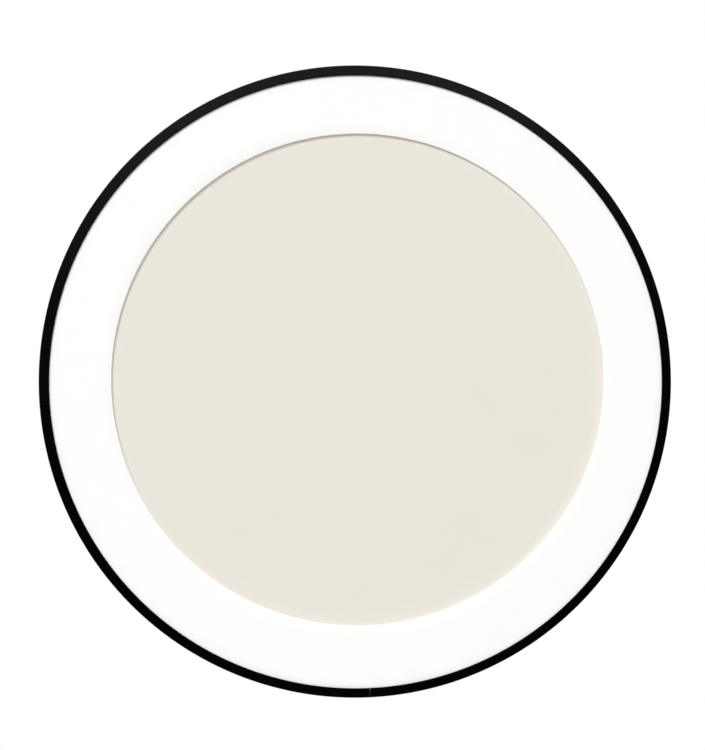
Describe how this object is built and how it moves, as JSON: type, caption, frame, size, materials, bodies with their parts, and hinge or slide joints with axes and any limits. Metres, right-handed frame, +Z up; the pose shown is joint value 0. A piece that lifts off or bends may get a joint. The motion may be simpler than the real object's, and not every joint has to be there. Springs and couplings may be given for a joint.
{
  "type": "round photo frame",
  "caption": "Round wall photo frame: slim black metal rim, clear pane, white mat with a round window, hardboard back with turning clips and a ring hanger.",
  "frame": {"origin": "the point inside the top of the hanger ring where a wall hook carries the frame, on the frame's vertical centre line", "axes": "+X to the right as seen from the front, +Y from the front to the wall behind, +Z up"},
  "size_m": [0.306, 0.018, 0.306],
  "materials": {
    "black_aluminium": "satin",
    "clear_pane": "gloss",
    "mat_white": "matte",
    "paper_beige": "matte",
    "hardboard": "matte",
    "zinc_steel": "satin",
    "rivet_steel": "satin"
  },
  "bodies": {
    "frame": {"rim": "black_aluminium", "splice_strip": "zinc_steel", "glazing": "clear_pane", "mat_board": "mat_white", "insert_sheet": "paper_beige", "backing_board": "hardboard", "clip_rivets": "rivet_steel", "hanger_strap": "zinc_steel", "hanger_rivets": "rivet_steel"},
    "clip_1": {"turn_clip_1": "zinc_steel"},
    "clip_2": {"turn_clip_2": "zinc_steel"},
    "clip_3": {"turn_clip_3": "zinc_steel"},
    "clip_4": {"turn_clip_4": "zinc_steel"},
    "clip_5": {"turn_clip_5": "zinc_steel"},
    "clip_6": {"turn_clip_6": "zinc_steel"},
    "hanger_ring": {"hanger_ring": "zinc_steel"}
  },
  "joints": [
    {"name": "clip_1_turn", "type": "hinge", "parent": "frame", "child": "clip_1", "pos_m": [0.0695, -0.00135, -0.00562], "axis": [0, 1, 0], "continuous": true},
    {"name": "clip_2_turn", "type": "hinge", "parent": "frame", "child": "clip_2", "pos_m": [0.139, -0.00135, -0.126], "axis": [0, 1, 0], "continuous": true},
    {"name": "clip_3_turn", "type": "hinge", "parent": "frame", "child": "clip_3", "pos_m": [0.0695, -0.00135, -0.24638], "axis": [0, 1, 0], "continuous": true},
    {"name": "clip_4_turn", "type": "hinge", "parent": "frame", "child": "clip_4", "pos_m": [-0.0695, -0.00135, -0.24638], "axis": [0, 1, 0], "continuous": true},
    {"name": "clip_5_turn", "type": "hinge", "parent": "frame", "child": "clip_5", "pos_m": [-0.139, -0.00135, -0.126], "axis": [0, 1, 0], "continuous": true},
    {"name": "clip_6_turn", "type": "hinge", "parent": "frame", "child": "clip_6", "pos_m": [-0.0695, -0.00135, -0.00562], "axis": [0, 1, 0], "continuous": true},
    {"name": "hanger_ring_swing", "type": "hinge", "parent": "frame", "child": "hanger_ring", "pos_m": [0, 0, -0.014], "axis": [-1, 0, 0], "range_deg": [-3, 172]}
  ]
}
